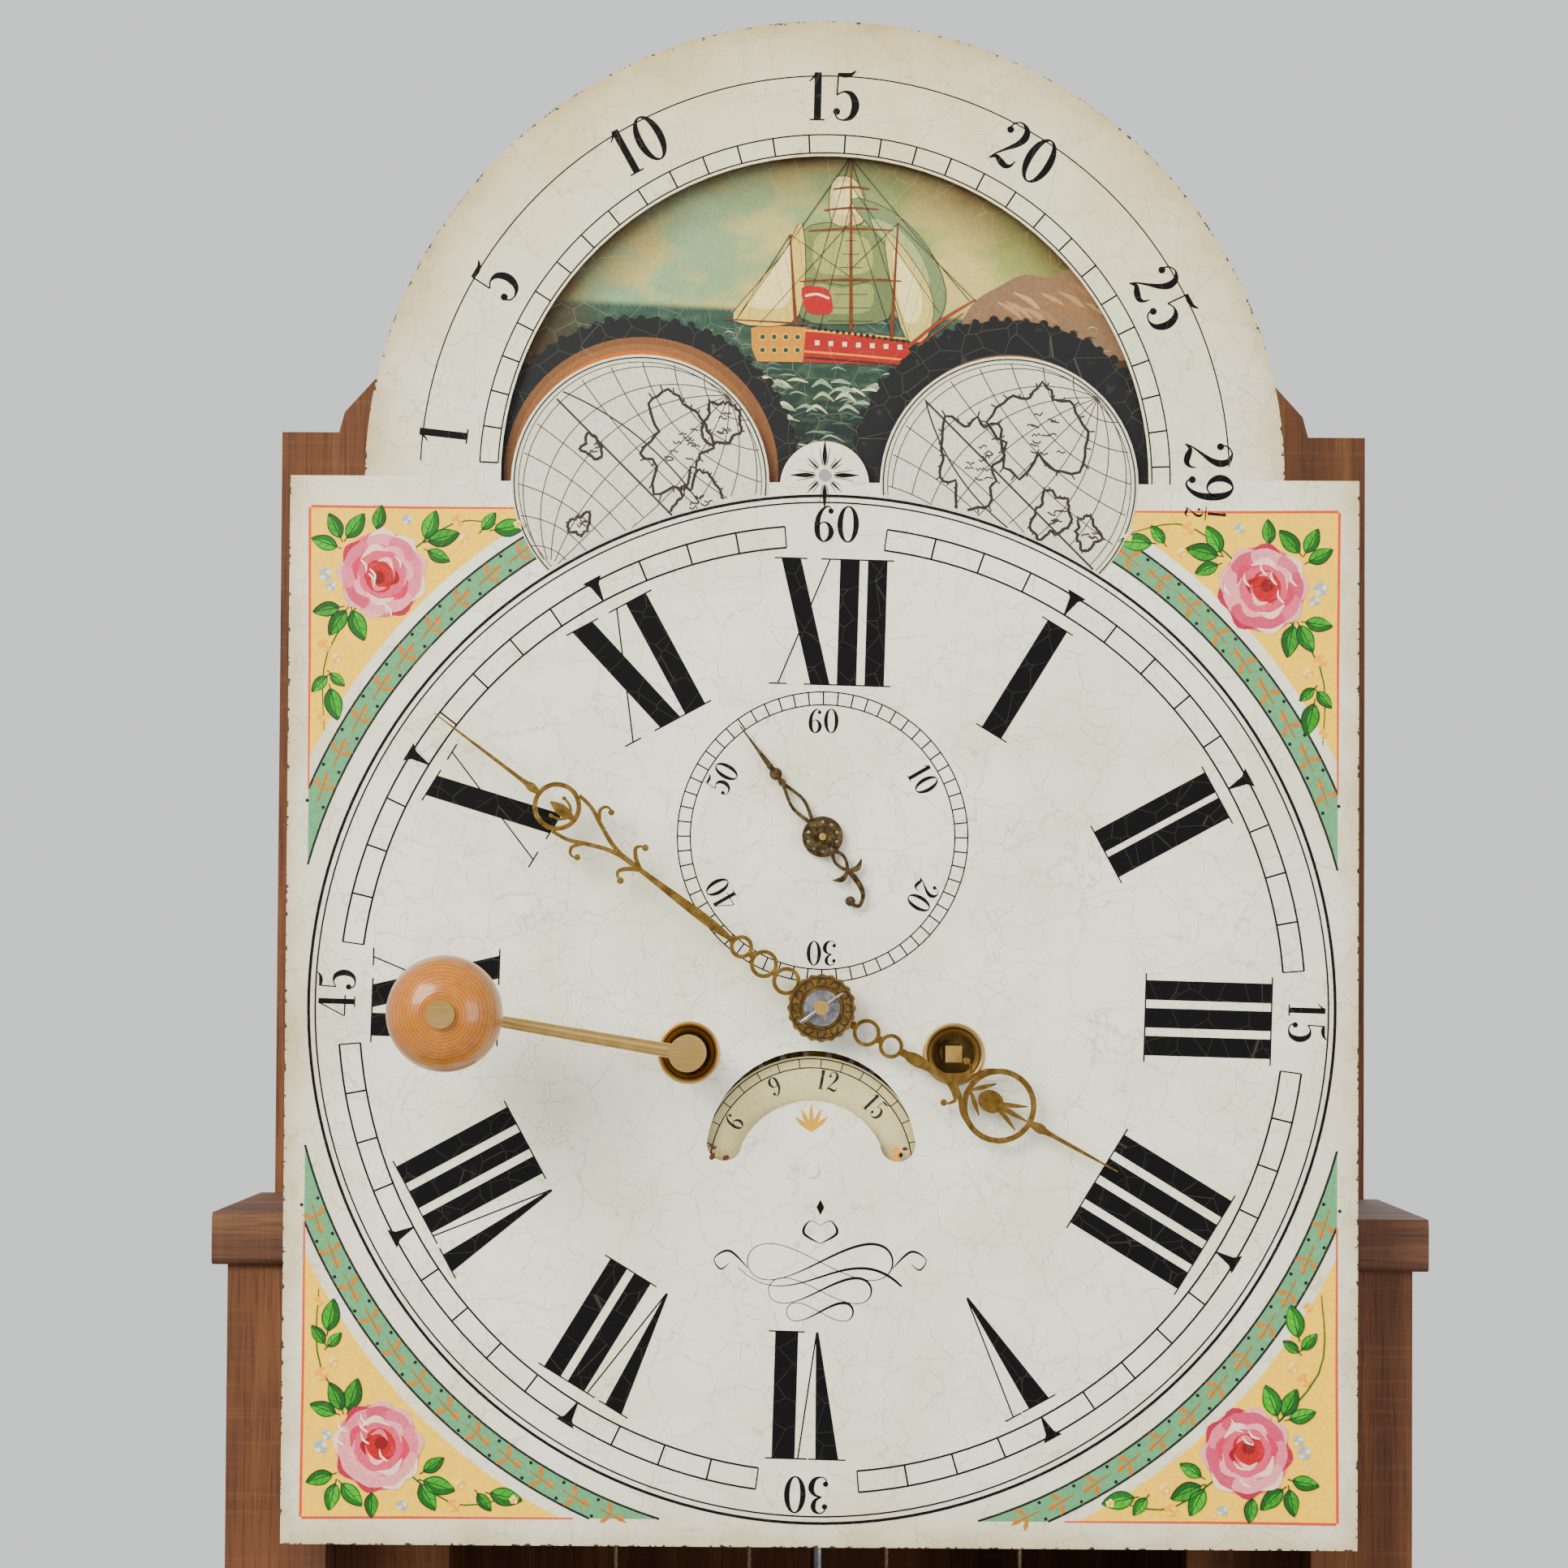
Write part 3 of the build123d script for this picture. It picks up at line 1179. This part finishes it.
finish(pendulum_rod, "pendulum_rod")

with BuildPart() as pendulum_bob:
    half = bob_thickness / 2
    bob_middle = (0, pendulum_y, bob_z)
    with BuildSketch(Plane(origin=bob_middle, x_dir=(1, 0, 0), z_dir=(0, 0, 1))):
        with BuildLine():
            ThreePointArc((0, -half), (bob_radius * 0.62, -half * 0.72), (bob_radius, 0))
            ThreePointArc((bob_radius, 0), (bob_radius * 0.62, half * 0.72), (0, half))
            Line((0, half), (0, -half))
        make_face()
    revolve(axis=Axis(bob_middle, (0, 1, 0)))
    with BuildSketch(Plane.XY.offset(bob_z - bob_radius - 18)):
        with Locations((0, pendulum_y)):
            Circle(9.0)
    extrude(amount=7.0)
    with BuildSketch(Plane.XY.offset(bob_z - bob_radius - 30)):
        with Locations((0, pendulum_y)):
            Circle(rod_radius + running_clearance)
    extrude(amount=2 * bob_radius + 60, mode=Mode.SUBTRACT)
finish(pendulum_bob, "pendulum_bob")


# ---------------------------------------------------------------- weights
def weight_set(name, side):
    """Cast weight with its hook and pulley frame, its pulley and its two runs of line."""
    centre_x = side * pulley_x
    weight_top = pulley_z - pulley_radius - weight_gap
    with BuildPart() as weight:
        with BuildSketch(Plane.XY.offset(weight_top - weight_height)):
            with Locations((centre_x, barrel_mid)):
                Circle(weight_radius)
        extrude(amount=weight_height)
        for end in (Axis.Z, -Axis.Z):
            fillet(weight.faces().sort_by(end)[-1].edges(), radius=3.0)
        frame_low = pulley_z - pulley_radius - 12
        block((centre_x - 2, centre_x + 2), (barrel_mid - 2, barrel_mid + 2), (weight_top - 1, frame_low))
        outside = pulley_width / 2 + 3.0
        block(
            (centre_x - 5, centre_x + 5),
            (barrel_mid - outside, barrel_mid + outside), (frame_low, frame_low + 4)
        )
        for face in (-1, 1):
            block(
                (centre_x - 5, centre_x + 5),
                (barrel_mid + face * (outside - 2), barrel_mid + face * outside),
                (frame_low, pulley_z + 6),
            )
        with BuildSketch(
            Plane(origin=(centre_x, barrel_mid + outside, pulley_z), x_dir=(1, 0, 0), z_dir=(0, -1, 0))
        ):
            Circle(2.0)
        extrude(amount=2 * outside)
    finish(weight, f"{name}_weight")
    with BuildPart() as pulley:
        with BuildSketch(Plane(origin=(centre_x, barrel_mid, pulley_z), x_dir=(0, 1, 0), z_dir=(1, 0, 0))):
            half = pulley_width / 2
            with BuildLine():
                Polyline((-half, 2.06), (-half, pulley_radius), (-half + 1, pulley_radius))
                Polyline(
                    (-half + 1, pulley_radius), (-1, pulley_groove),
                    (1, pulley_groove), (half - 1, pulley_radius)
                )
                Polyline((half - 1, pulley_radius), (half, pulley_radius), (half, 2.06), (-half, 2.06))
            make_face()
        revolve(axis=Axis((centre_x, barrel_mid, pulley_z), (0, 1, 0)))
        with BuildSketch(
            Plane(origin=(centre_x, barrel_mid + half, pulley_z), x_dir=(1, 0, 0), z_dir=(0, -1, 0))
        ):
            with PolarLocations(0.6 * pulley_groove, 4):
                Circle(4.0)
        extrude(amount=2 * half, mode=Mode.SUBTRACT)
    finish(pulley, f"{name}_pulley")
    with BuildPart() as line:
        for x, high in ((line_outer_x, hand_height - winding_drop), (line_inner_x, seat_top + 3)):
            with BuildSketch(Plane.XY.offset(pulley_z)):
                with Locations((side * x, barrel_mid)):
                    Circle(line_radius)
            extrude(amount=high - pulley_z)
    finish(line, f"{name}_line")


weight_set("going", 1)
weight_set("strike", -1)

# ---------------------------------------------------------------- winding crank
arm_end = polar(crank_arm, 90 - crank_arm_clockwise, strike_at)
arm_y = dial_front - 25.0
with BuildPart() as crank:
    rod(strike_at, crank_radius, arm_y - 3, dial_back + 6)
    with BuildSketch(facing(dial_back + 6, strike_at)):
        Rectangle(winding_square + 0.2, winding_square + 0.2)
    extrude(amount=24, mode=Mode.SUBTRACT)
    arm_plane = Plane(
        origin=(strike_at[0], arm_y, hand_height + strike_at[1]),
        x_dir=(0, 1, 0),
        z_dir=(arm_end[0] - strike_at[0], 0, arm_end[1] - strike_at[1]),
    )
    with BuildSketch(arm_plane):
        Circle(2.4)
    with BuildSketch(arm_plane.offset(crank_arm)):
        Circle(1.85)
    loft()
    rod(arm_end, 4.2, arm_y - 2.4, arm_y + 2.4)
    rod(arm_end, knob_pin_radius, arm_y - 4 - knob_length - 1.6, arm_y)
    rod(arm_end, 4.6, arm_y - 4 - knob_length - 1.6, arm_y - 4 - knob_length - 0.3)
finish(crank, "crank")

with BuildPart() as crank_knob:
    knob_back = arm_y - 3.4
    knob_at = (arm_end[0], knob_back, hand_height + arm_end[1])
    with BuildSketch(Plane(origin=knob_at, x_dir=(1, 0, 0), z_dir=(0, 0, 1))):
        bore = knob_pin_radius + running_clearance
        with BuildLine():
            Line((bore, 0), (8.0, 0))
            Spline((8.0, 0), (10.0, -8.0), (knob_radius, -26.0), (15.5, -40.0), (7.0, -knob_length))
            Line((7.0, -knob_length), (bore, -knob_length))
            Line((bore, -knob_length), (bore, 0))
        make_face()
    revolve(axis=Axis(knob_at, (0, 1, 0)))
finish(crank_knob, "crank_knob")
